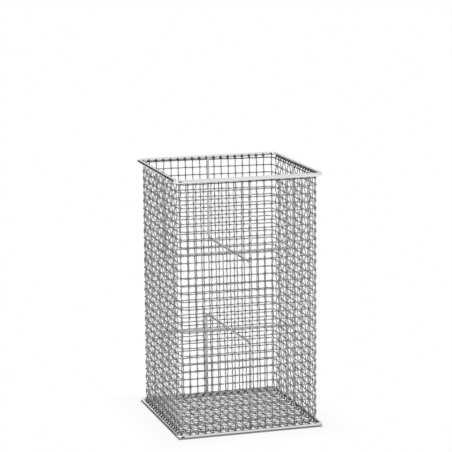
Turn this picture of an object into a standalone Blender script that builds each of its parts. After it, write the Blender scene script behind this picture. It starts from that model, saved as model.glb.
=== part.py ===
"""Square cutlery holder of stainless steel wire mesh.

Two rods bent into square rings hold the top and bottom edges of a folded mesh wall.
A mesh floor lies level with the lower ring, and four bent wires divide the inside into four.
The origin is on the ground under the middle of the holder, +Z is up and the front faces -Y.
"""

import math

import bmesh
import bpy

# Driving dimensions, in metres.

outer_width = 0.150
outer_depth = 0.150
overall_height = 0.254

rod_diameter = 0.004
rod_bend_radius = 0.006

mesh_wire = 0.0012
mesh_corner_radius = 0.0065
edge_wire_from_rod = 0.0034
wire_end_past_rod = 0.0012

divider_wire = 0.0024
divider_bend_radius = 0.004
upper_divider_below_rim = 0.0842
lower_divider_above_base = 0.0866

# How far each divider wire passes from the middle, and how far it is turned out of square.

upper_side_to_side_off_middle = -0.003
upper_front_to_back_off_middle = 0.0005
lower_side_to_side_off_middle = 0.0015
lower_front_to_back_off_middle = -0.0015
upper_side_to_side_skew = math.radians(1)
upper_front_to_back_skew = math.radians(1)
lower_side_to_side_skew = math.radians(-5)
lower_front_to_back_skew = math.radians(2)

seat_gap = 0.0003

# Counts. Each bar of the net stands for three wires of the woven sheet.

cells_across = 6
cells_deep = 6
cells_up = 11
rod_sides = 16
rod_bend_steps = 6
divider_sides = 12
divider_bend_steps = 5

# Colours and finishes: bare drawn stainless steel, the rods polished brighter than the mesh.

rod_steel_colour = (0.62, 0.62, 0.61)
rod_steel_roughness = 0.22
mesh_steel_colour = (0.50, 0.50, 0.50)
mesh_steel_roughness = 0.36
divider_steel_colour = (0.56, 0.56, 0.56)
divider_steel_roughness = 0.28
smooth_edge_angle = math.radians(50)

# Sizes that follow from the driving dimensions.

rod_radius = rod_diameter / 2
ring_half_width = outer_width / 2 - rod_radius
ring_half_depth = outer_depth / 2 - rod_radius
base_ring_height = rod_radius
rim_ring_height = overall_height - rod_radius

sheet_thickness = 2 * mesh_wire
wall_plane_x = ring_half_width - rod_radius - seat_gap - sheet_thickness / 2
wall_plane_y = ring_half_depth - rod_radius - seat_gap - sheet_thickness / 2
wall_inside_x = wall_plane_x - sheet_thickness / 2
wall_inside_y = wall_plane_y - sheet_thickness / 2
wall_bottom = base_ring_height - wire_end_past_rod
wall_top = rim_ring_height + wire_end_past_rod
lowest_wire_height = base_ring_height + edge_wire_from_rod
highest_wire_height = rim_ring_height - edge_wire_from_rod

corner_inner_radius = mesh_corner_radius - sheet_thickness / 2
half_corner_angle = math.pi / 4 - (seat_gap / 2) / corner_inner_radius

floor_height = base_ring_height
floor_top = floor_height + sheet_thickness / 2
floor_half_width = wall_inside_x - seat_gap
floor_half_depth = wall_inside_y - seat_gap

divider_radius = divider_wire / 2
divider_half_width = wall_inside_x - seat_gap - divider_radius
divider_half_depth = wall_inside_y - seat_gap - divider_radius
crossing_offset = (divider_wire + seat_gap) / 2
upper_crossing_height = rim_ring_height - upper_divider_below_rim
lower_crossing_height = base_ring_height + lower_divider_above_base
lower_leg_foot = floor_top + seat_gap


def clear_scene():
    """Remove every object, so that the scene holds only the holder."""
    for old in list(bpy.data.objects):
        bpy.data.objects.remove(old, do_unlink=True)


def steel(name, colour, roughness):
    """Bare metal with the given grey and roughness."""
    material = bpy.data.materials.new(name)
    material.use_nodes = True
    shader = material.node_tree.nodes["Principled BSDF"]
    shader.inputs["Base Color"].default_value = (*colour, 1)
    shader.inputs["Metallic"].default_value = 1
    shader.inputs["Roughness"].default_value = roughness
    return material


def add_piece(name, mesh, material, parent, location=(0, 0, 0), rotation=(0, 0, 0)):
    """Put a mesh in the scene as the named piece, smooth along its round sides."""
    mesh.materials.append(material)
    mesh.shade_smooth()
    mesh.set_sharp_from_angle(angle=smooth_edge_angle)
    piece = bpy.data.objects.new(name, mesh)
    bpy.context.collection.objects.link(piece)
    piece.location = location
    piece.rotation_euler = rotation
    piece.parent = parent
    return piece


def finish_mesh(name, shape):
    """Turn a bmesh into a mesh with its faces pointing out."""
    bmesh.ops.recalc_face_normals(shape, faces=shape.faces)
    mesh = bpy.data.meshes.new(name)
    shape.to_mesh(mesh)
    shape.free()
    return mesh


def swept_rod(name, stations, radius, sides, closed):
    """Carry a round section along a bent line and close it at its ends or on itself.

    A station is a centre and the two directions of its section. The section's flats, not its
    corners, lie at the rod's radius, so that its lowest flat is a true seat.
    """
    shape = bmesh.new()
    corner_radius = radius / math.cos(math.pi / sides)
    rings = []
    for centre, outward, upward in stations:
        ring = []
        for side in range(sides):
            turn = 2 * math.pi * (side + 0.5) / sides
            reach = corner_radius * math.cos(turn)
            lift = corner_radius * math.sin(turn)
            point = [c + reach * o + lift * u for c, o, u in zip(centre, outward, upward)]
            ring.append(shape.verts.new(point))
        rings.append(ring)
    following = rings[1:] + rings[:1] if closed else rings[1:]
    for ring, after in zip(rings, following):
        for side in range(sides):
            beside = (side + 1) % sides
            shape.faces.new((ring[side], ring[beside], after[beside], after[side]))
    if not closed:
        shape.faces.new(rings[0])
        shape.faces.new(rings[-1])
    return finish_mesh(name, shape)


def ring_stations(half_width, half_depth, bend_radius, steps):
    """Stations round a rectangle with bent corners, each section square to the rod."""
    stations = []
    for corner, (x_side, y_side) in enumerate(((1, 1), (-1, 1), (-1, -1), (1, -1))):
        bend_x = x_side * (half_width - bend_radius)
        bend_y = y_side * (half_depth - bend_radius)
        for step in range(steps + 1):
            turn = (corner + step / steps) * math.pi / 2
            outward = (math.cos(turn), math.sin(turn), 0)
            centre = (bend_x + bend_radius * outward[0], bend_y + bend_radius * outward[1], 0)
            stations.append((centre, outward, (0, 0, 1)))
    return stations


def divider_stations(half_span, leg_length, bend_radius, steps):
    """Stations of a U in the XZ plane: its bar lies on Z = 0 and its legs point up."""
    side_on = (0, 1, 0)
    stations = [((-half_span, 0, leg_length), (-1, 0, 0), side_on)]
    for bend, x_side in enumerate((-1, 1)):
        bend_x = x_side * (half_span - bend_radius)
        for step in range(steps + 1):
            turn = (2 + bend + step / steps) * math.pi / 2
            outward = (math.cos(turn), 0, math.sin(turn))
            centre = (bend_x + bend_radius * outward[0], 0, bend_radius + bend_radius * outward[2])
            stations.append((centre, outward, side_on))
    stations.append(((half_span, 0, leg_length), (1, 0, 0), side_on))
    return stations


def spaced(first, last, cells):
    """Places that divide the way from first to last into equal cells."""
    return [first + (last - first) * index / cells for index in range(cells + 1)]


def net_stations(start, bars, end):
    """Cut a length at both sides of each bar, and say which stretches are bars."""
    cuts = [start]
    is_bar = []
    for bar in bars:
        cuts += [bar - mesh_wire / 2, bar + mesh_wire / 2]
        is_bar += [False, True]
    cuts.append(end)
    is_bar.append(False)
    return cuts, is_bar


def woven_sheet(name, along, up, place):
    """A net of crossing wires as thick as the woven sheet, as one closed body.

    Each stretch of the grid is solid where an upright or a level wire runs through it. The place
    function turns the distance along, the distance up and the outward depth into a point.
    """
    along_cuts, along_is_bar = along
    up_cuts, up_is_bar = up
    shape = bmesh.new()
    verts = {}

    def vert(column, row, face):
        key = (column, row, face)
        if key not in verts:
            depth = face * sheet_thickness / 2
            verts[key] = shape.verts.new(place(along_cuts[column], up_cuts[row], depth))
        return verts[key]

    def solid(column, row):
        inside = 0 <= column < len(along_is_bar) and 0 <= row < len(up_is_bar)
        return inside and (along_is_bar[column] or up_is_bar[row])

    for column in range(len(along_is_bar)):
        for row in range(len(up_is_bar)):
            if not solid(column, row):
                continue
            corners = ((column, row), (column + 1, row), (column + 1, row + 1), (column, row + 1))
            beside = ((column, row - 1), (column + 1, row), (column, row + 1), (column - 1, row))
            shape.faces.new([vert(*corner, 1) for corner in corners])
            shape.faces.new([vert(*corner, -1) for corner in reversed(corners)])
            for index, neighbour in enumerate(beside):
                if not solid(*neighbour):
                    first = corners[index]
                    second = corners[(index + 1) % 4]
                    shape.faces.new((vert(*second, 1), vert(*first, 1), vert(*first, -1), vert(*second, -1)))
    return finish_mesh(name, shape)


def wall_mesh(name, plane_half, cells):
    """One wall, with half of the corner bend at each end, standing in its own XZ plane."""
    flat_half = plane_half - mesh_corner_radius
    end = flat_half + mesh_corner_radius * half_corner_angle
    uprights = spaced(mesh_wire / 2 - flat_half, flat_half - mesh_wire / 2, cells)
    levels = spaced(lowest_wire_height, highest_wire_height, cells_up)

    def place(distance, height, depth):
        turn = max(abs(distance) - flat_half, 0) / mesh_corner_radius
        reach = mesh_corner_radius + depth
        x = min(abs(distance), flat_half) + reach * math.sin(turn)
        y = mesh_corner_radius - reach * math.cos(turn)
        return (math.copysign(x, distance), y, height)

    along = net_stations(-end, uprights, end)
    return woven_sheet(name, along, net_stations(wall_bottom, levels, wall_top), place)


def floor_mesh(name):
    """The flat floor. Its wires meet the upright wires of the walls end to side."""
    flat_half_width = wall_plane_x - mesh_corner_radius - mesh_wire / 2
    flat_half_depth = wall_plane_y - mesh_corner_radius - mesh_wire / 2
    across = spaced(-flat_half_width, flat_half_width, cells_across)
    deep = spaced(-flat_half_depth, flat_half_depth, cells_deep)

    def place(x, y, depth):
        return (x, y, depth)

    along = net_stations(-floor_half_width, across, floor_half_width)
    return woven_sheet(name, along, net_stations(-floor_half_depth, deep, floor_half_depth), place)


def add_rods(parent):
    """The rim rod and the base rod, both outside the wall mesh."""
    for name, height in (("rim_rod", rim_ring_height), ("base_rod", base_ring_height)):
        stations = ring_stations(ring_half_width, ring_half_depth, rod_bend_radius, rod_bend_steps)
        mesh = swept_rod(name, stations, rod_radius, rod_sides, closed=True)
        material = steel(name + "_steel", rod_steel_colour, rod_steel_roughness)
        add_piece(name, mesh, material, parent, location=(0, 0, height))


def add_walls(parent):
    """Four walls that meet in the middle of each corner bend."""
    walls = (
        ("front_wall_mesh", wall_plane_x, cells_across, (0, -wall_plane_y, 0), 0),
        ("right_wall_mesh", wall_plane_y, cells_deep, (wall_plane_x, 0, 0), 1),
        ("back_wall_mesh", wall_plane_x, cells_across, (0, wall_plane_y, 0), 2),
        ("left_wall_mesh", wall_plane_y, cells_deep, (-wall_plane_x, 0, 0), 3),
    )
    for name, plane_half, cells, location, quarter_turns in walls:
        material = steel(name + "_steel", mesh_steel_colour, mesh_steel_roughness)
        rotation = (0, 0, quarter_turns * math.pi / 2)
        add_piece(name, wall_mesh(name, plane_half, cells), material, parent, location, rotation)


def add_floor(parent):
    """The floor mesh, level with the base rod."""
    material = steel("floor_mesh_steel", mesh_steel_colour, mesh_steel_roughness)
    add_piece("floor_mesh", floor_mesh("floor_mesh"), material, parent, location=(0, 0, floor_height))


def add_divider(name, bar_height, hangs, runs_sideways, off_middle, skew, parent):
    """A U of wire whose legs lie against two walls, up to the rim or down to the floor."""
    half_span = (divider_half_width if runs_sideways else divider_half_depth) / math.cos(skew)
    leg_end = rim_ring_height if hangs else lower_leg_foot
    leg_length = abs(leg_end - bar_height)
    stations = divider_stations(half_span, leg_length, divider_bend_radius, divider_bend_steps)
    mesh = swept_rod(name, stations, divider_radius, divider_sides, closed=False)
    material = steel(name + "_steel", divider_steel_colour, divider_steel_roughness)
    flip = 0 if hangs else math.pi
    turn = skew if runs_sideways else skew + math.pi / 2
    location = (0, off_middle, bar_height) if runs_sideways else (off_middle, 0, bar_height)
    add_piece(name, mesh, material, parent, location, rotation=(flip, 0, turn))


def add_dividers(parent):
    """Two crossed wires that hang from the rim and two that stand on the floor."""
    upper_low_bar = upper_crossing_height - crossing_offset
    upper_high_bar = upper_crossing_height + crossing_offset
    lower_low_bar = lower_crossing_height - crossing_offset
    lower_high_bar = lower_crossing_height + crossing_offset
    add_divider("upper_divider_side_to_side", upper_low_bar, True, True,
                upper_side_to_side_off_middle, upper_side_to_side_skew, parent)
    add_divider("upper_divider_front_to_back", upper_high_bar, True, False,
                upper_front_to_back_off_middle, upper_front_to_back_skew, parent)
    add_divider("lower_divider_side_to_side", lower_low_bar, False, True,
                lower_side_to_side_off_middle, lower_side_to_side_skew, parent)
    add_divider("lower_divider_front_to_back", lower_high_bar, False, False,
                lower_front_to_back_off_middle, lower_front_to_back_skew, parent)


def build():
    """Make the whole holder under one empty at its origin."""
    clear_scene()
    holder = bpy.data.objects.new("cutlery_holder_origin", None)
    bpy.context.collection.objects.link(holder)
    add_rods(holder)
    add_walls(holder)
    add_floor(holder)
    add_dividers(holder)


build()
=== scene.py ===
"""The finished look of a square cutlery holder of woven stainless steel wire.

Lengths are in metres. The holder stands on Z = 0 round the origin, open at the top, with its
front towards -Y. It is put together in the order of the workshop: wall cloth, floor cloth, the two
rods, the divider wires, and the spot welds that hold them all.
"""

import math

import bpy
import numpy as np
from mathutils import Matrix


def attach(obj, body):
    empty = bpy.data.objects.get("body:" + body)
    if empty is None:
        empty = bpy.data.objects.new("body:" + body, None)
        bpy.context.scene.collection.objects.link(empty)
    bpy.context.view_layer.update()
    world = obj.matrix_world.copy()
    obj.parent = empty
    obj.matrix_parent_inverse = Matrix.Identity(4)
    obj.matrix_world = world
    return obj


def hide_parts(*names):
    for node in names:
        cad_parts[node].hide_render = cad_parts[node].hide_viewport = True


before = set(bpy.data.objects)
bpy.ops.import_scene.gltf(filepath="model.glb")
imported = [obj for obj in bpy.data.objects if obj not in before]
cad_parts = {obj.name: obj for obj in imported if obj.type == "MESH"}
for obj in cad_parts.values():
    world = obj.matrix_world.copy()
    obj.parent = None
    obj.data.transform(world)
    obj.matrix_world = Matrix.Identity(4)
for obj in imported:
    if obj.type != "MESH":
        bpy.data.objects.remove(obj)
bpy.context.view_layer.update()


# The camera.
# It stands nearly two metres off, a little to the left of the front and above the rim, with a long
# lens. Its place, roll and lens are fitted to the corners of both rods in the photograph.

camera_azimuth = math.radians(-16.793)
camera_elevation = math.radians(10.582)
camera_roll = math.radians(-0.459)
camera_distance = 1.9914
camera_target = np.array([-0.00220, 0.00023, 0.19302])
focal_length_pixels = 2005.3
picture_pixels = 452
sensor_width_mm = 36.0

camera_back = np.array([
    math.sin(camera_azimuth) * math.cos(camera_elevation),
    -math.cos(camera_azimuth) * math.cos(camera_elevation),
    math.sin(camera_elevation),
])
level_right = np.array([math.cos(camera_azimuth), math.sin(camera_azimuth), 0.0])
level_up = np.cross(camera_back, level_right)
camera_right = math.cos(camera_roll) * level_right + math.sin(camera_roll) * level_up
camera_up = math.cos(camera_roll) * level_up - math.sin(camera_roll) * level_right

camera_data = bpy.data.cameras.new("camera")
camera_data.sensor_width = sensor_width_mm
camera_data.lens = focal_length_pixels * sensor_width_mm / picture_pixels
camera_data.clip_end = 100.0
camera = bpy.data.objects.new("camera", camera_data)
bpy.context.scene.collection.objects.link(camera)
camera_turn = Matrix(np.column_stack([camera_right, camera_up, camera_back]).tolist())
camera.matrix_world = Matrix.Translation(camera_target + camera_distance * camera_back) @ camera_turn.to_4x4()
bpy.context.scene.camera = camera


# The wall cloth.
# One strip of plain woven stainless wire cloth, folded round four corners. Its wires are 1.2 mm
# thick and 7.6 mm apart, and each is crimped over and under the wires that it crosses.

wire_diameter = 0.0012
wire_radius = wire_diameter / 2
crimp_height = wire_diameter / 2
wires_per_side = 18
level_wires = 33
lowest_level_wire = 0.0054
highest_level_wire = 0.2486
wall_plane = 0.0698
fold_centre = 0.0630
fold_radius = wall_plane - fold_centre
quarter_length = 2 * fold_centre + fold_radius * math.pi / 2
wall_pitch = quarter_length / wires_per_side
level_pitch = (highest_level_wire - lowest_level_wire) / (level_wires - 1)
rod_radius = 0.0020
rod_line = 0.0730
base_rod_height = 0.0020
rim_rod_height = 0.2520
upright_foot = 0.0010
upright_tip = 0.2532
steps_per_cell = 5
wire_sides = 8
sharp_past = math.radians(50)


def round_the_wall(distance):
    """Points and outward directions on the wall's middle surface, seen from above.

    The distance runs to the right from the middle of the front wall. Within a quarter, what lies
    past the flat is an arc: turn = (distance - flat) / fold radius, and point = flat end + fold
    radius * (sin turn, -cos turn). Each further quarter is the same, a quarter turn on.
    """
    quarter = np.floor(distance / quarter_length + 0.5)
    local = distance - quarter * quarter_length
    flat = np.clip(local, -fold_centre, fold_centre)
    turn = (local - flat) / fold_radius
    out_x, out_y = np.sin(turn), -np.cos(turn)
    x = flat + fold_radius * out_x
    y = -fold_centre + fold_radius * out_y
    cos_q, sin_q = np.cos(quarter * np.pi / 2), np.sin(quarter * np.pi / 2)
    point = np.stack([cos_q * x - sin_q * y, sin_q * x + cos_q * y], axis=-1)
    outward = np.stack([cos_q * out_x - sin_q * out_y, sin_q * out_x + cos_q * out_y], axis=-1)
    return point, outward


# The strip was folded by hand and a little out of square. Its uprights crept sideways by up to 2 mm,
# more at the base than at the rim. Its lowest wire lies low at the back and high on the left, and
# its top stands high near the back left corner.

base_creep = np.array([0.0, -0.0018, -0.0020, -0.0018])
rim_creep = np.array([0.0, -0.0009, 0.0012, 0.0])
base_rise = np.array([0.0, 0.0, -0.0011, 0.0010])
fold_spread_share = 0.16
strip_rise = 0.0018
strip_rise_reach = 0.075
back_left_fold = -1.5 * quarter_length
past_the_fold = 0.025
strip_high_point = back_left_fold - past_the_fold


def by_wall(values, woven):
    """One value for each wall, front, right, back and left, carried round the strip.

    Over the fold between two walls it changes by a smooth step, share ** 2 * (3 - 2 * share).
    """
    walls_passed = np.floor(woven / quarter_length).astype(int)
    share = np.clip((woven / quarter_length - walls_passed - 0.5) / fold_spread_share + 0.5, 0.0, 1.0)
    share = share * share * (3 - 2 * share)
    return values[walls_passed % 4] * (1 - share) + values[(walls_passed + 1) % 4] * share


def lie_of_strip(woven, height_share):
    """Where a place on the flat strip lies round the wall.

    It is the place + base creep * (1 - height share) + rim creep * height share.
    """
    at_base = by_wall(base_creep, woven) * (1 - height_share)
    at_rim = by_wall(rim_creep, woven) * height_share
    return woven + at_base + at_rim


def rise_of_strip(distance):
    """How far the top wire stands above level: rise * exp(-(d / reach) ** 2).

    The distance d runs round the strip either way from its high point.
    """
    half_way_round = 2 * quarter_length
    from_high_point = (distance - strip_high_point + half_way_round) % (2 * half_way_round) - half_way_round
    return strip_rise * np.exp(-(from_high_point / strip_rise_reach) ** 2)


def wire_mesh(name, centres, plane_normals, radii, sides, closed, marks=None):
    """Round wires that each lie in a plane, made as one mesh.

    centres is (wires, stations, 3). With tangent t from the neighbouring centres and n the
    normal of the wire's plane, the surface is centre + radius * (cos a * (n x t) + sin a * n)
    for a full turn of a. UV is the length along the wire and the length round it, in metres.
    marks gives each named point attribute a value for every wire and station.
    """
    wires, stations = centres.shape[:2]
    normals = np.broadcast_to(plane_normals[:, None, :], centres.shape)
    if closed:
        tangents = np.roll(centres, -1, axis=1) - np.roll(centres, 1, axis=1)
        spans = np.roll(centres, -1, axis=1) - centres
    else:
        tangents = np.gradient(centres, axis=1)
        spans = np.diff(centres, axis=1)
    tangents = tangents / np.linalg.norm(tangents, axis=-1, keepdims=True)
    across = np.cross(normals, tangents)
    angle = 2 * np.pi * np.arange(sides) / sides
    reach = np.broadcast_to(radii, (wires, stations))[:, :, None, None]
    ring = np.cos(angle)[:, None] * across[:, :, None, :] + np.sin(angle)[:, None] * normals[:, :, None, :]
    points = (centres[:, :, None, :] + reach * ring).reshape(-1, 3)

    index = np.arange(wires * stations * sides).reshape(wires, stations, sides)
    here = index if closed else index[:, :-1]
    ahead = np.roll(index, -1, axis=1) if closed else index[:, 1:]
    beside = np.roll(here, -1, axis=2)
    ahead_beside = np.roll(ahead, -1, axis=2)
    quads = np.stack([here, beside, ahead_beside, ahead], axis=-1).reshape(-1)

    along = np.zeros((wires, spans.shape[1] + 1))
    along[:, 1:] = np.cumsum(np.linalg.norm(spans, axis=-1), axis=1)
    girth = 2 * np.pi * float(np.max(radii)) / sides * np.arange(sides + 1)
    u = np.stack([along[:, :-1], along[:, :-1], along[:, 1:], along[:, 1:]], axis=-1)
    v = np.stack([girth[:-1], girth[1:], girth[1:], girth[:-1]], axis=-1)
    u = np.broadcast_to(u[:, :, None, :], (*u.shape[:2], sides, 4))
    v = np.broadcast_to(v, u.shape)
    uv = np.stack([u, v], axis=-1).reshape(-1, 2)
    starts = np.arange(0, len(quads), 4)
    loops = quads
    if not closed:
        caps = np.concatenate([index[:, 0, ::-1], index[:, -1, :]]).reshape(-1)
        starts = np.concatenate([starts, len(quads) + np.arange(0, len(caps), sides)])
        loops = np.concatenate([quads, caps])
        uv = np.concatenate([uv, np.zeros((len(caps), 2))])

    mesh = bpy.data.meshes.new(name)
    mesh.vertices.add(len(points))
    mesh.vertices.foreach_set("co", points.ravel())
    mesh.loops.add(len(loops))
    mesh.loops.foreach_set("vertex_index", loops.astype(np.int32))
    mesh.polygons.add(len(starts))
    mesh.polygons.foreach_set("loop_start", starts.astype(np.int32))
    mesh.uv_layers.new(name="wire").uv.foreach_set("vector", uv.ravel())
    for mark, values in (marks or {}).items():
        values = np.broadcast_to(values[:, :, None], (wires, stations, sides)).ravel()
        mesh.attributes.new(mark, "FLOAT", "POINT").data.foreach_set("value", values)
    mesh.update(calc_edges=True)
    mesh.validate()
    mesh.shade_smooth()
    mesh.set_sharp_from_angle(angle=sharp_past)
    return mesh


def srgb(code):
    """Linear colour of a hex code: c / 12.92 up to 0.04045, and ((c + 0.055) / 1.055) ** 2.4 above."""
    shares = [int(code[i:i + 2], 16) / 255 for i in (1, 3, 5)]
    return [c / 12.92 if c <= 0.04045 else ((c + 0.055) / 1.055) ** 2.4 for c in shares] + [1.0]


def add_node(tree, kind, settings=None, inputs=None):
    """Add a node, give it its settings, and set each input to a value or link it to a socket."""
    node = tree.nodes.new(kind)
    for key, value in (settings or {}).items():
        setattr(node, key, value)
    for key, value in (inputs or {}).items():
        if isinstance(value, bpy.types.NodeSocket):
            tree.links.new(value, node.inputs[key])
        else:
            node.inputs[key].default_value = value
    return node


def new_material(name):
    """An empty material with its output node, and the two handles to build it with."""
    material = bpy.data.materials.new(name)
    material.use_nodes = True
    material.node_tree.nodes.clear()
    output = add_node(material.node_tree, "ShaderNodeOutputMaterial")
    return material, material.node_tree, output


# Plain woven stainless wire, degreased but not polished: a grey satin metal. Drawing leaves fine
# lines along each wire, real ones 0.02 mm apart and here 0.12 mm, so that they show. Where two
# wires cross they are darkened, partly by old drawing soap and partly as painted shade, and next to
# the rods and along the floor's edges the wires carry painted shade.

clean_wire = srgb("#C6C6C6")
grimy_shaded_wire = srgb("#868686")
wire_in_joint_shade = srgb("#585856")
clean_roughness = 0.26
grimy_roughness = 0.42
draw_line_width = 0.00012
draw_line_length = 0.018
handling_patch = 0.035

cloth_steel, tree, output = new_material("woven_stainless_wire_as_drawn")
wire_uv = add_node(tree, "ShaderNodeUVMap", {"uv_map": "wire"})
line_scale = (1 / draw_line_length, 1 / draw_line_width, 1.0)
line_place = add_node(tree, "ShaderNodeMapping", None,
                      {"Vector": wire_uv.outputs["UV"], "Scale": line_scale})
draw_lines = add_node(tree, "ShaderNodeTexNoise", {"noise_dimensions": "2D"},
                      {"Vector": line_place.outputs["Vector"], "Scale": 1.0, "Detail": 3.0, "Roughness": 0.6})
place = add_node(tree, "ShaderNodeTexCoord")
patches = add_node(tree, "ShaderNodeTexNoise", {"noise_dimensions": "3D"},
                   {"Vector": place.outputs["Object"], "Scale": 1 / handling_patch, "Detail": 2.0})
# The crossings are darkened partly by drawing-soap grime and partly by painted shade where the wires touch.
grime_and_shade = add_node(tree, "ShaderNodeAttribute", {"attribute_name": "grime_and_shade"})
# Painted shade darkens the wires where they meet the rods and the walls.
joint_shade = add_node(tree, "ShaderNodeAttribute", {"attribute_name": "joint_shade"})
uneven = add_node(tree, "ShaderNodeMath", {"operation": "ADD"},
                  {0: draw_lines.outputs["Fac"], 1: patches.outputs["Fac"]})
uneven = add_node(tree, "ShaderNodeMapRange", None,
                  {"Value": uneven.outputs["Value"], "From Min": 0.6, "From Max": 1.4,
                   "To Min": -0.25, "To Max": 0.25})
grimy_and_shaded = add_node(tree, "ShaderNodeMath", {"operation": "ADD", "use_clamp": True},
                 {0: grime_and_shade.outputs["Fac"], 1: uneven.outputs["Result"]})
colour = add_node(tree, "ShaderNodeMix", {"data_type": "RGBA"},
                  {0: grimy_and_shaded.outputs["Value"], 6: clean_wire, 7: grimy_shaded_wire})
colour = add_node(tree, "ShaderNodeMix", {"data_type": "RGBA"},
                  {0: joint_shade.outputs["Fac"], 6: colour.outputs[2], 7: wire_in_joint_shade})
gloss = add_node(tree, "ShaderNodeMapRange", None,
                 {"Value": grimy_and_shaded.outputs["Value"], "To Min": clean_roughness, "To Max": grimy_roughness})
relief = add_node(tree, "ShaderNodeBump", None,
                  {"Height": draw_lines.outputs["Fac"], "Strength": 0.25, "Distance": 0.00004})
shader = add_node(tree, "ShaderNodeBsdfPrincipled", None,
                  {"Base Color": colour.outputs[2], "Metallic": 1.0, "Roughness": gloss.outputs["Result"],
                   "Normal": relief.outputs["Normal"]})
tree.links.new(shader.outputs["BSDF"], output.inputs["Surface"])


def add_piece(name, mesh, material, stands_for):
    """Put a finished mesh in the scene as a piece that rides with the holder's one body."""
    mesh.materials.append(material)
    piece = bpy.data.objects.new(name, mesh)
    bpy.context.scene.collection.objects.link(piece)
    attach(piece, "root")
    if stands_for:
        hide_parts(*stands_for)


# Level wires: 33 hoops. Each passes outside one upright and inside the next, so its distance from
# the middle surface is crimp height * cos(pi * distance / pitch), and hoops alternate. The top one
# is painted dark as shade under the rim rod, and the lowest a little as shade by the base rod.

# How far the painted shade reaches from the rods and walls, and how dark it gets.
joint_shade_reach = 0.0040
deepest_joint_shade = 0.8
lowest_hoop_joint_shade = 0.3
wall_nodes = ("front_wall_mesh", "right_wall_mesh", "back_wall_mesh", "left_wall_mesh")
hoop_steps = 4 * wires_per_side * steps_per_cell
hoop_woven = np.arange(hoop_steps) * wall_pitch / steps_per_cell
hoop_share = np.linspace(0.0, 1.0, level_wires)[:, None]
hoop_distance = lie_of_strip(hoop_woven, hoop_share)
hoop_point, hoop_outward = round_the_wall(hoop_distance)
hoop_sign = np.where(np.arange(level_wires) % 2 == 0, 1.0, -1.0)
hoop_offset = crimp_height * hoop_sign[:, None] * np.cos(np.pi * hoop_woven / wall_pitch)
hoop_height = lowest_level_wire + level_pitch * np.arange(level_wires)
hoop_centres = np.empty((level_wires, hoop_steps, 3))
hoop_centres[:, :, :2] = hoop_point + hoop_offset[:, :, None] * hoop_outward
hoop_rise = (1 - hoop_share) * by_wall(base_rise, hoop_woven) + hoop_share * rise_of_strip(hoop_woven)
hoop_centres[:, :, 2] = hoop_height[:, None] + hoop_rise
# Darker at the crossings: drawing-soap grime and painted shade.
hoop_grime_and_shade = (hoop_offset / crimp_height) ** 4
hoop_joint_shade = np.zeros(hoop_grime_and_shade.shape)
hoop_joint_shade[0] = lowest_hoop_joint_shade
hoop_joint_shade[-1] = deepest_joint_shade
level_mesh = wire_mesh("wall_level_wires", hoop_centres, np.tile([0.0, 0.0, 1.0], (level_wires, 1)),
                       np.array([[wire_radius]]), wire_sides, True,
                       {"grime_and_shade": hoop_grime_and_shade, "joint_shade": hoop_joint_shade})
add_piece("wall_level_wires", level_mesh, cloth_steel, wall_nodes)

# Uprights: 72 wires, crimped the opposite way, so that where they cross the two wires touch. Past
# the last level wire each one leans out until it lies against the rod, and is sheared off there.

upright_count = 4 * wires_per_side
lean_reach = 0.0025
end_stations = 5
upright_woven = np.arange(upright_count)[:, None] * wall_pitch
lowest_crossing = lowest_level_wire + by_wall(base_rise, upright_woven)
highest_crossing = highest_level_wire + rise_of_strip(upright_woven)
pitch_here = (highest_crossing - lowest_crossing) / (level_wires - 1)
cell_steps = np.arange((level_wires - 1) * steps_per_cell + 1) / steps_per_cell
cell_heights = lowest_crossing + pitch_here * cell_steps
end_steps = np.linspace(0.0, 1.0, end_stations)
foot_heights = upright_foot + (lowest_crossing - upright_foot) * end_steps[:-1]
tip_heights = highest_crossing + (upright_tip - highest_crossing) * end_steps[1:]
upright_z = np.concatenate([foot_heights, cell_heights, tip_heights], axis=1)
upright_share = (upright_z - lowest_crossing) / (highest_crossing - lowest_crossing)
upright_point, upright_outward = round_the_wall(lie_of_strip(upright_woven, upright_share))
upright_sign = np.where(np.arange(upright_count) % 2 == 0, -1.0, 1.0)
crimp = crimp_height * upright_sign[:, None] * np.cos(np.pi * (upright_z - lowest_crossing) / pitch_here)
past_end = np.maximum(lowest_crossing - upright_z, upright_z - highest_crossing)
lean = np.clip(past_end / lean_reach, 0.0, 1.0)
lean = lean * lean * (3 - 2 * lean)
against_rod = rod_line - rod_radius - wire_radius - wall_plane
upright_offset = crimp * (1 - lean) + against_rod * lean
upright_centres = np.empty((*upright_z.shape, 3))
upright_centres[:, :, :2] = upright_point + upright_offset[:, :, None] * upright_outward
upright_centres[:, :, 2] = upright_z
foot_outward, tip_outward = upright_outward[:, 0], upright_outward[:, -1]
along_wall = np.column_stack([-foot_outward[:, 1], foot_outward[:, 0], np.zeros(upright_count)])
# Darker at the crossings: drawing-soap grime and painted shade.
upright_grime_and_shade = (crimp / crimp_height) ** 4 * (1 - lean)
# Painted shade on each upright within a few millimetres of either rod.
from_rods = np.minimum(rim_rod_height - upright_z, upright_z - base_rod_height)
upright_joint_shade = np.clip(1.0 - from_rods / joint_shade_reach, 0.0, deepest_joint_shade)
upright_mesh = wire_mesh("wall_upright_wires", upright_centres, along_wall,
                         np.array([[wire_radius]]), wire_sides, False,
                         {"grime_and_shade": upright_grime_and_shade, "joint_shade": upright_joint_shade})
add_piece("wall_upright_wires", upright_mesh, cloth_steel, wall_nodes)


# The floor cloth.
# A flat square of the same woven wire, level with the base rod. Its wire ends meet the inside of
# the wall cloth and are spot welded to it.

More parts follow.
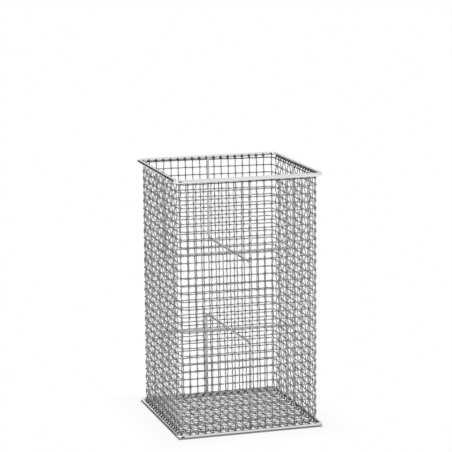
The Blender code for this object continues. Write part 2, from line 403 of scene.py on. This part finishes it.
floor_wires = 17
floor_pitch = wall_pitch
floor_height = base_rod_height
floor_end_gap = 0.0001
floor_reach = wall_plane - 2 * crimp_height - floor_end_gap
floor_lines = (np.arange(floor_wires) - (floor_wires - 1) / 2) * floor_pitch
floor_steps = np.linspace(-floor_reach, floor_reach, (floor_wires + 1) * steps_per_cell + 1)
floor_sign = np.where(np.arange(floor_wires) % 2 == 0, 1.0, -1.0)
floor_crimp = crimp_height * floor_sign[:, None] * np.cos(np.pi * (floor_steps / floor_pitch))
floor_up = np.tile([1.0, 0.0, 0.0], (floor_wires, 1))
deep_centres = np.empty((floor_wires, len(floor_steps), 3))
deep_centres[:, :, 0] = floor_lines[:, None]
deep_centres[:, :, 1] = floor_steps
deep_centres[:, :, 2] = floor_height + floor_crimp
across_centres = deep_centres[:, :, [1, 0, 2]].copy()
across_centres[:, :, 2] = floor_height - floor_crimp
floor_centres = np.concatenate([deep_centres, across_centres])
floor_normals = np.concatenate([floor_up, floor_up[:, [1, 0, 2]]])
# Darker at the crossings: drawing-soap grime and painted shade.
floor_grime_and_shade = ((floor_centres[:, :, 2] - floor_height) / crimp_height) ** 4
# Painted shade on the floor wires' ends along the walls.
from_walls = floor_reach - np.abs(floor_steps)
floor_joint_shade = np.clip(1.0 - from_walls / joint_shade_reach, 0.0, deepest_joint_shade)
floor_joint_shade = np.broadcast_to(floor_joint_shade, floor_grime_and_shade.shape)
floor_mesh = wire_mesh("floor_wires", floor_centres, floor_normals, np.array([[wire_radius]]), wire_sides,
                       False, {"grime_and_shade": floor_grime_and_shade, "joint_shade": floor_joint_shade})
add_piece("floor_wires", floor_mesh, cloth_steel, ("floor_mesh",))


# The rim rod and the base rod.
# Bright drawn 4 mm stainless rod, bent round a small former at each corner and butt welded in the
# middle of the back run. Drawing leaves a satin gloss with lines along it, coarser here than real.

rod_bend_radius = 0.006
rod_sides = 32
rod_run_stations = 42
rod_bend_steps = 16
weld_bulge = 0.00012
weld_half_width = 0.0016
weld_reach_in_half_widths = 2.5
weld_stations = 21
rod_tone_dark = srgb("#E8E8E8")
rod_tone_light = srgb("#F4F4F4")
rod_roughness_dark = 0.15
rod_roughness_light = 0.09
rod_line_length = 0.06
rod_line_width = 0.00025
rod_patch = 0.02

rod_steel, tree, output = new_material("bright_drawn_stainless_rod")
wire_uv = add_node(tree, "ShaderNodeUVMap", {"uv_map": "wire"})
line_scale = (1 / rod_line_length, 1 / rod_line_width, 1.0)
line_place = add_node(tree, "ShaderNodeMapping", None,
                      {"Vector": wire_uv.outputs["UV"], "Scale": line_scale})
draw_lines = add_node(tree, "ShaderNodeTexNoise", {"noise_dimensions": "2D"},
                      {"Vector": line_place.outputs["Vector"], "Scale": 1.0, "Detail": 4.0,
                       "Roughness": 0.55})
place = add_node(tree, "ShaderNodeTexCoord")
patches = add_node(tree, "ShaderNodeTexNoise", {"noise_dimensions": "3D"},
                   {"Vector": place.outputs["Object"], "Scale": 1 / rod_patch, "Detail": 3.0})
tone = add_node(tree, "ShaderNodeMath", {"operation": "MULTIPLY_ADD"},
                {0: draw_lines.outputs["Fac"], 1: 0.5, 2: 0.0})
tone = add_node(tree, "ShaderNodeMath", {"operation": "MULTIPLY_ADD", "use_clamp": True},
                {0: patches.outputs["Fac"], 1: 0.5, 2: tone.outputs["Value"]})
colour = add_node(tree, "ShaderNodeMix", {"data_type": "RGBA"},
                  {0: tone.outputs["Value"], 6: rod_tone_dark, 7: rod_tone_light})
gloss = add_node(tree, "ShaderNodeMapRange", None,
                 {"Value": tone.outputs["Value"], "To Min": rod_roughness_dark,
                  "To Max": rod_roughness_light})
relief = add_node(tree, "ShaderNodeBump", None,
                  {"Height": draw_lines.outputs["Fac"], "Strength": 0.15, "Distance": 0.00004})
shader = add_node(tree, "ShaderNodeBsdfPrincipled", None,
                  {"Base Color": colour.outputs[2], "Metallic": 1.0, "Roughness": gloss.outputs["Result"],
                   "Normal": relief.outputs["Normal"]})
tree.links.new(shader.outputs["BSDF"], output.inputs["Surface"])


def rod_ring(name, height):
    """A rod bent into a square ring.

    From each quarter's straight run the centre line turns on an arc of the bend radius. The
    ring's radius is rod radius - bulge * (1 - weld), where the weld is exp(-(distance / half
    width) ** 2) from the middle of the back run, and 0 on the other runs.
    """
    straight = rod_line - rod_bend_radius
    turn = np.linspace(0.0, np.pi / 2, rod_bend_steps + 1)
    run = np.linspace(-straight, straight, rod_run_stations)[1:-1]
    near_weld = np.linspace(-weld_reach_in_half_widths, weld_reach_in_half_widths, weld_stations)
    run = np.unique(np.concatenate([run, weld_half_width * near_weld]))
    x = np.concatenate([run, straight + rod_bend_radius * np.sin(turn)])
    y = np.concatenate([np.full(len(run), -rod_line), -straight - rod_bend_radius * np.cos(turn)])
    quarter = np.arange(4)[:, None] * np.pi / 2
    centres = np.empty((1, 4 * len(x), 3))
    centres[0, :, 0] = (np.cos(quarter) * x - np.sin(quarter) * y).ravel()
    centres[0, :, 1] = (np.sin(quarter) * x + np.cos(quarter) * y).ravel()
    centres[0, :, 2] = height
    from_weld = centres[0, :, 0] / weld_half_width
    weld = np.where(centres[0, :, 1] > straight, np.exp(-from_weld ** 2), 0.0)
    radii = (rod_radius + weld_bulge * (weld - 1))[None, :]
    return wire_mesh(name, centres, np.array([[0.0, 0.0, 1.0]]), radii, rod_sides, True)


add_piece("rim_ring", rod_ring("rim_ring", rim_rod_height), rod_steel, ("rim_rod",))
add_piece("base_ring", rod_ring("base_ring", base_rod_height), rod_steel, ("base_rod",))


# The divider wires.
# Two pairs of bright drawn 2.4 mm stainless wire, each bent to a U. The upper pair hangs from the rim
# and the lower pair stands on the floor, all set by hand, so a little off the middle and out of
# square. Their drawing lines are coarser here than real.

divider_radius = 0.0012
divider_bend = 0.004
divider_sides = 20
divider_bend_steps = 12
divider_bar_steps = 23
divider_leg_steps = 19
divider_reach = wall_plane - 2 * crimp_height - divider_radius
upper_crossing = 0.1681
lower_crossing = 0.0886
crossing_step = 0.0009
upper_tip = 0.2520
lower_foot = 0.0032
divider_tone_dark = srgb("#D2D2D2")
divider_tone_light = srgb("#E8E8E8")
divider_roughness_dark = 0.30
divider_roughness_light = 0.22
divider_line_length = 0.05
divider_line_width = 0.0002

divider_steel, tree, output = new_material("bright_drawn_stainless_wire")
wire_uv = add_node(tree, "ShaderNodeUVMap", {"uv_map": "wire"})
line_scale = (1 / divider_line_length, 1 / divider_line_width, 1.0)
line_place = add_node(tree, "ShaderNodeMapping", None,
                      {"Vector": wire_uv.outputs["UV"], "Scale": line_scale})
draw_lines = add_node(tree, "ShaderNodeTexNoise", {"noise_dimensions": "2D"},
                      {"Vector": line_place.outputs["Vector"], "Scale": 1.0, "Detail": 4.0,
                       "Roughness": 0.55})
colour = add_node(tree, "ShaderNodeMix", {"data_type": "RGBA"},
                  {0: draw_lines.outputs["Fac"], 6: divider_tone_dark, 7: divider_tone_light})
gloss = add_node(tree, "ShaderNodeMapRange", None,
                 {"Value": draw_lines.outputs["Fac"], "To Min": divider_roughness_dark,
                  "To Max": divider_roughness_light})
relief = add_node(tree, "ShaderNodeBump", None,
                  {"Height": draw_lines.outputs["Fac"], "Strength": 0.2, "Distance": 0.00004})
shader = add_node(tree, "ShaderNodeBsdfPrincipled", None,
                  {"Base Color": colour.outputs[2], "Metallic": 1.0, "Roughness": gloss.outputs["Result"],
                   "Normal": relief.outputs["Normal"]})
tree.links.new(shader.outputs["BSDF"], output.inputs["Surface"])


def divider_wire(name, bar_height, leg_end, along_x, off_middle, skew):
    """A U of wire: a level bar, two bends on arcs of the bend radius, and two upright legs.

    The bar points along X or Y, turned by the skew, and passes the middle at the given distance.
    Its half length is divider reach / cos(skew), so that the legs still lie against two walls.
    """
    way = math.copysign(1.0, leg_end - bar_height)
    half = divider_reach / math.cos(skew)
    straight = half - divider_bend
    turn = np.linspace(0.0, np.pi / 2, divider_bend_steps + 1)
    bar = np.linspace(0.0, straight, divider_bar_steps + 1)[:-1]
    leg_start = bar_height + way * divider_bend
    leg = np.linspace(leg_start, leg_end, divider_leg_steps + 1)[1:]
    side = np.concatenate([bar, straight + divider_bend * np.sin(turn), np.full(len(leg), half)])
    height = np.concatenate([np.full(len(bar), bar_height),
                             bar_height + way * divider_bend * (1 - np.cos(turn)), leg])
    side = np.concatenate([-side[:0:-1], side])
    height = np.concatenate([height[:0:-1], height])
    heading = skew if along_x else skew + math.pi / 2
    centres = np.empty((1, len(side), 3))
    centres[0, :, 0] = math.cos(heading) * side + (0.0 if along_x else off_middle)
    centres[0, :, 1] = math.sin(heading) * side + (off_middle if along_x else 0.0)
    centres[0, :, 2] = height
    normal = np.array([[-math.sin(heading), math.cos(heading), 0.0]])
    radii = np.full((1, len(side)), divider_radius)
    return wire_mesh(name, centres, normal, radii, divider_sides, False)


dividers = (
    ("upper_cross_wire_side_to_side", upper_crossing - crossing_step, upper_tip, True, -0.0030, 1.0),
    ("upper_cross_wire_front_to_back", upper_crossing + crossing_step, upper_tip, False, 0.0005, 1.0),
    ("lower_cross_wire_side_to_side", lower_crossing - crossing_step, lower_foot, True, 0.0015, -5.0),
    ("lower_cross_wire_front_to_back", lower_crossing + crossing_step, lower_foot, False, -0.0015, 2.0),
)
for name, bar_height, leg_end, along_x, off_middle, degrees in dividers:
    node = name.replace("cross_wire", "divider")
    wire = divider_wire(name, bar_height, leg_end, along_x, off_middle, math.radians(degrees))
    add_piece(name, wire, divider_steel, (node,))


# The spot welds.
# Every upright but the four at the folds is spot welded to both rods, the floor cloth to the walls,
# and the divider wires to level wires and to each other. The squeezed metal is a bead tinted dark
# by heat, and darker still as painted shade in the gaps between the rods and the cloth.

bead_stations = 7
bead_profile = np.linspace(-1.0, 1.0, bead_stations)
bead_sides = 8
blunt_end = 0.97
# Heat tint and painted shade: the beads are darker than heat tint alone leaves them.
weld_tone_dark = srgb("#565656")
weld_tone_light = srgb("#767676")
weld_roughness_dark = 0.5
weld_roughness_light = 0.35
tint_patch = 0.0015

weld_steel, tree, output = new_material("heat_tinted_and_shaded_weld_metal")
place = add_node(tree, "ShaderNodeTexCoord")
tint = add_node(tree, "ShaderNodeTexNoise", {"noise_dimensions": "3D"},
                {"Vector": place.outputs["Object"], "Scale": 1 / tint_patch, "Detail": 2.0})
colour = add_node(tree, "ShaderNodeMix", {"data_type": "RGBA"},
                  {0: tint.outputs["Fac"], 6: weld_tone_dark, 7: weld_tone_light})
gloss = add_node(tree, "ShaderNodeMapRange", None,
                 {"Value": tint.outputs["Fac"], "To Min": weld_roughness_dark,
                  "To Max": weld_roughness_light})
shader = add_node(tree, "ShaderNodeBsdfPrincipled", None,
                  {"Base Color": colour.outputs[2], "Metallic": 1.0, "Roughness": gloss.outputs["Result"]})
tree.links.new(shader.outputs["BSDF"], output.inputs["Surface"])


def beads(name, centres, axes, normals, half_length, radius):
    """Weld beads, each a long ball on its axis: radius * sqrt(1 - share ** 2), with blunt ends.

    The share of the half length at each station is blunt end * sin(profile * pi / 2).
    """
    share = blunt_end * np.sin(bead_profile * np.pi / 2)
    stations = centres[:, None, :] + half_length * share[None, :, None] * axes[:, None, :]
    radii = np.broadcast_to(radius * np.sqrt(1 - share ** 2), stations.shape[:2])
    return wire_mesh(name, stations, normals, radii, bead_sides, False)


# Beads between the uprights and the rods, one for each upright on a flat.

upright_weld_offset = rod_line - rod_radius - wire_radius / 2 - wall_plane
upright_weld_from_rod = 0.0010
rim_bead_height = rim_rod_height - upright_weld_from_rod
base_bead_height = base_rod_height + upright_weld_from_rod
on_the_flat = np.arange(upright_count) % wires_per_side != wires_per_side // 2
rim_bead_xy = (upright_point[:, -1] + upright_weld_offset * tip_outward)[on_the_flat]
base_bead_xy = (upright_point[:, 0] + upright_weld_offset * foot_outward)[on_the_flat]
up_axis = np.tile([0.0, 0.0, 1.0], (len(rim_bead_xy), 1))
for name, bead_xy, height, half_length, radius, slot in (
        ("rim_welds", rim_bead_xy, rim_bead_height, 0.0017, 0.0013, "rim_rod_steel"),
        ("base_welds", base_bead_xy, base_bead_height, 0.0014, 0.0010, "base_rod_steel")):
    bead_centres = np.column_stack([bead_xy, np.full(len(bead_xy), height)])
    mesh = beads(name, bead_centres, along_wall[on_the_flat], up_axis, half_length, radius)
    add_piece(name, mesh, weld_steel, ())

# Beads at the ends of the floor cloth's wires.

floor_bead_inset = 0.0002
floor_bead_half_length = 0.0016
floor_bead_radius = 0.0011
floor_bead_line = floor_reach - floor_bead_inset
side_of_floor = np.concatenate([np.full(floor_wires, -1.0), np.full(floor_wires, 1.0)])
line_twice = np.tile(floor_lines, 2)
front_and_back = np.column_stack([line_twice, side_of_floor * floor_bead_line,
                                  np.full(2 * floor_wires, floor_height)])
left_and_right = front_and_back[:, [1, 0, 2]]
floor_bead_centres = np.concatenate([front_and_back, left_and_right])
floor_bead_axes = np.repeat([[1.0, 0.0, 0.0], [0.0, 1.0, 0.0]], 2 * floor_wires, axis=0)
floor_bead_normals = np.tile([0.0, 0.0, 1.0], (4 * floor_wires, 1))
mesh = beads("floor_welds", floor_bead_centres, floor_bead_axes, floor_bead_normals,
             floor_bead_half_length, floor_bead_radius)
add_piece("floor_welds", mesh, weld_steel, ())

# Beads where the dividers' legs meet every fifth level wire, and where each pair crosses.

divider_bead_half_length = 0.0013
divider_bead_radius = 0.0009
upper_weld_heights = hoop_height[[22, 27, 32]]
lower_weld_heights = hoop_height[[0, 5, 10]]
leg_weld_reach = divider_reach + divider_radius
leg_beads = []
leg_normals = []
for name, bar_height, leg_end, along_x, off_middle, degrees in dividers:
    heading = math.radians(degrees) if along_x else math.radians(degrees + 90)
    heights = upper_weld_heights if leg_end > bar_height else lower_weld_heights
    for side in (-1.0, 1.0):
        reach = side * leg_weld_reach / math.cos(math.radians(degrees))
        x = math.cos(heading) * reach + (0.0 if along_x else off_middle)
        y = math.sin(heading) * reach + (off_middle if along_x else 0.0)
        leg_beads += [(x, y, float(height)) for height in heights]
        leg_normals += [(math.cos(heading), math.sin(heading), 0.0)] * len(heights)
for crossing, side_to_side, front_to_back in ((upper_crossing, dividers[0], dividers[1]),
                                              (lower_crossing, dividers[2], dividers[3])):
    leg_beads.append((front_to_back[4], side_to_side[4], crossing))
    leg_normals.append((1.0, 0.0, 0.0))
leg_axes = np.tile([0.0, 0.0, 1.0], (len(leg_beads), 1))
mesh = beads("divider_welds", np.array(leg_beads), leg_axes, np.array(leg_normals),
             divider_bead_half_length, divider_bead_radius)
add_piece("divider_welds", mesh, weld_steel, ())


# The floor of the studio, the light and the white surroundings.
# A white table in a white tent, under two soft lamps. The table shows as pure white but for a faint
# shadow round the foot, partly real and partly painted grey, and a painted dark shadow under the front
# and back rods. In mirror images it is painted grey near the foot, as a painted shadow of the holder.

tent_level = 0.78
table_painted_shadow_by_the_foot = srgb("#8A8A8A")
table_further_off = srgb("#FAFAFA")
white_share_under_it = 0.84
white_share_by_the_foot = 0.95
white_share_further_off = 0.99
contact_shadow_depth = 0.9
contact_shadow_inside = (0.066, 0.070)
contact_shadow_outside = (0.0725, 0.0750)
# Painted shadow in mirror images: near the foot, glossy rays see the grey paint.
mirrored_share_under_it = 0.55
mirrored_share_further_off = 0.95
foot_line_inside = 0.068
foot_line_outside = 0.078
shadow_starts_to_fade = 0.080
shadow_gone = 0.115

studio_white, tree, output = new_material("white_painted_table")
rays = add_node(tree, "ShaderNodeLightPath")
seen = add_node(tree, "ShaderNodeMath", {"operation": "ADD", "use_clamp": True},
                {0: rays.outputs["Is Camera Ray"], 1: rays.outputs["Is Transmission Ray"]})
spot = add_node(tree, "ShaderNodeTexCoord")
ground = add_node(tree, "ShaderNodeSeparateXYZ", None, {"Vector": spot.outputs["Object"]})
across = add_node(tree, "ShaderNodeMath", {"operation": "ABSOLUTE"}, {0: ground.outputs["X"]})
deep = add_node(tree, "ShaderNodeMath", {"operation": "ABSOLUTE"}, {0: ground.outputs["Y"]})
from_middle = add_node(tree, "ShaderNodeMath", {"operation": "MAXIMUM"},
                       {0: across.outputs["Value"], 1: deep.outputs["Value"]})
outside = add_node(tree, "ShaderNodeMapRange", {"interpolation_type": "SMOOTHSTEP"},
                   {"Value": from_middle.outputs["Value"], "From Min": foot_line_inside,
                    "From Max": foot_line_outside})
away = add_node(tree, "ShaderNodeMapRange", {"interpolation_type": "SMOOTHSTEP"},
                {"Value": from_middle.outputs["Value"], "From Min": shadow_starts_to_fade,
                 "From Max": shadow_gone})
seen_near = add_node(tree, "ShaderNodeMapRange", None,
                     {"Value": outside.outputs["Result"], "To Min": white_share_under_it,
                      "To Max": white_share_by_the_foot})
# Painted shadow: under the front and back rods the white share drops, so the grey paint shows.
to_contact = add_node(tree, "ShaderNodeMapRange", {"interpolation_type": "SMOOTHSTEP"},
                      {"Value": deep.outputs["Value"], "From Min": contact_shadow_inside[0],
                       "From Max": contact_shadow_inside[1], "To Max": contact_shadow_depth})
past_contact = add_node(tree, "ShaderNodeMapRange", {"interpolation_type": "SMOOTHSTEP"},
                        {"Value": from_middle.outputs["Value"], "From Min": contact_shadow_outside[0],
                         "From Max": contact_shadow_outside[1], "To Min": 1.0, "To Max": 0.0})
contact = add_node(tree, "ShaderNodeMath", {"operation": "MULTIPLY"},
                   {0: to_contact.outputs["Result"], 1: past_contact.outputs["Result"]})
lit_share = add_node(tree, "ShaderNodeMath", {"operation": "SUBTRACT"},
                     {0: 1.0, 1: contact.outputs["Value"]})
seen_near = add_node(tree, "ShaderNodeMath", {"operation": "MULTIPLY"},
                     {0: seen_near.outputs["Result"], 1: lit_share.outputs["Value"]})
seen_white = add_node(tree, "ShaderNodeMapRange", None,
                      {"Value": away.outputs["Result"], "To Min": seen_near.outputs["Value"],
                       "To Max": white_share_further_off})
mirrored_near = add_node(tree, "ShaderNodeMapRange", None,
                         {"Value": outside.outputs["Result"], "To Min": mirrored_share_under_it,
                          "To Max": 0.0})
mirrored_white = add_node(tree, "ShaderNodeMapRange", None,
                          {"Value": away.outputs["Result"], "To Min": mirrored_near.outputs["Result"],
                           "To Max": mirrored_share_further_off})
seen_share = add_node(tree, "ShaderNodeMath", {"operation": "MULTIPLY"},
                      {0: seen.outputs["Value"], 1: seen_white.outputs["Result"]})
share = add_node(tree, "ShaderNodeMath", {"operation": "MULTIPLY_ADD"},
                 {0: rays.outputs["Is Glossy Ray"], 1: mirrored_white.outputs["Result"],
                  2: seen_share.outputs["Value"]})
table_grey = add_node(tree, "ShaderNodeMix", {"data_type": "RGBA"},
                      {0: away.outputs["Result"], 6: table_painted_shadow_by_the_foot, 7: table_further_off})
paint = add_node(tree, "ShaderNodeBsdfDiffuse", None, {"Color": table_grey.outputs[2]})
glow = add_node(tree, "ShaderNodeEmission", None, {"Color": (1.0, 1.0, 1.0, 1.0), "Strength": 1.0})
surface = add_node(tree, "ShaderNodeMixShader", None,
                   {0: share.outputs["Value"], 1: paint.outputs["BSDF"], 2: glow.outputs["Emission"]})
tree.links.new(surface.outputs["Shader"], output.inputs["Surface"])


def stage_panel(name, corners, material):
    """A flat four-cornered panel of the studio, which is no part of the holder."""
    mesh = bpy.data.meshes.new(name)
    mesh.from_pydata(corners, [], [(0, 1, 2, 3)])
    mesh.materials.append(material)
    panel = bpy.data.objects.new(name, mesh)
    bpy.context.scene.collection.objects.link(panel)
    return panel


floor_half = 14.0
stage_panel("studio_floor", [(-floor_half, -floor_half, 0.0), (floor_half, -floor_half, 0.0),
                             (floor_half, floor_half, 0.0), (-floor_half, floor_half, 0.0)], studio_white)

# What shows in mirror images alone: two black felt flags and a white card that glows by itself stand
# behind the holder on its left, and the dark opening of the tent is behind the camera. They paint dark
# and bright reflections into the metal and cast no shadow.

card_level = 1.9
black_felt, tree, output = new_material("black_felt")
felt = add_node(tree, "ShaderNodeBsdfDiffuse", None, {"Color": srgb("#141414")})
tree.links.new(felt.outputs["BSDF"], output.inputs["Surface"])
card_white, tree, output = new_material("glowing_white_card")
card_glow = add_node(tree, "ShaderNodeEmission", None,
                     {"Color": (1.0, 1.0, 1.0, 1.0), "Strength": card_level})
tree.links.new(card_glow.outputs["Emission"], output.inputs["Surface"])
flag_line = 0.59
flag_left = -0.60
opening_azimuth = math.radians(-28)
opening_distance = 2.2
opening_half_width = 1.27
opening_height = 3.8
opening_middle = opening_distance * np.array([math.sin(opening_azimuth), -math.cos(opening_azimuth)])
opening_side = opening_half_width * np.array([math.cos(opening_azimuth), math.sin(opening_azimuth)])
opening_left = opening_middle - opening_side
opening_right = opening_middle + opening_side
for name, left, right, bottom, top, face in (
        ("studio_flag_high", (flag_left, flag_line), (-0.11, flag_line), 0.215, 0.52, black_felt),
        ("studio_flag_low", (flag_left, flag_line), (-0.185, flag_line), 0.0, 0.18, black_felt),
        ("studio_card", (-0.155, flag_line), (-0.07, flag_line), 0.15, 0.30, card_white),
        ("studio_opening", tuple(opening_left), tuple(opening_right), 0.0, opening_height, black_felt)):
    panel = stage_panel(name, [(*left, bottom), (*right, bottom), (*right, top), (*left, top)], face)
    panel.visible_camera = False
    panel.visible_transmission = False
    panel.visible_diffuse = False
    panel.visible_shadow = False

world = bpy.data.worlds.new("studio_world")
bpy.context.scene.world = world
world.use_nodes = True
tree = world.node_tree
tree.nodes.clear()
sky = add_node(tree, "ShaderNodeBackground", None, {"Color": (1.0, 1.0, 1.0, 1.0), "Strength": tent_level})
add_node(tree, "ShaderNodeOutputWorld", None, {"Surface": sky.outputs["Background"]})


def soft_light(name, place, target, width, height, radiance):
    """A rectangular lamp facing its target. Its power is pi * area * radiance."""
    lamp = bpy.data.lights.new(name, "AREA")
    lamp.shape = "RECTANGLE"
    lamp.size = width
    lamp.size_y = height
    lamp.energy = math.pi * width * height * radiance
    holder = bpy.data.objects.new(name, lamp)
    bpy.context.scene.collection.objects.link(holder)
    towards = np.array(target) - np.array(place)
    towards = towards / np.linalg.norm(towards)
    side = np.cross(towards, [0.0, 0.0, 1.0])
    side = side / np.linalg.norm(side)
    turn = Matrix(np.column_stack([side, np.cross(side, towards), -towards]).tolist())
    holder.matrix_world = Matrix.Translation(place) @ turn.to_4x4()


middle = (0.0, 0.0, 0.127)
soft_light("left_softbox", (-1.75, -0.45, 2.2), middle, 1.6, 1.2, 1.6)
soft_light("top_softbox", (0.75, -0.7, 2.2), middle, 1.6, 1.2, 0.2)

bpy.context.scene.view_settings.view_transform = "Standard"
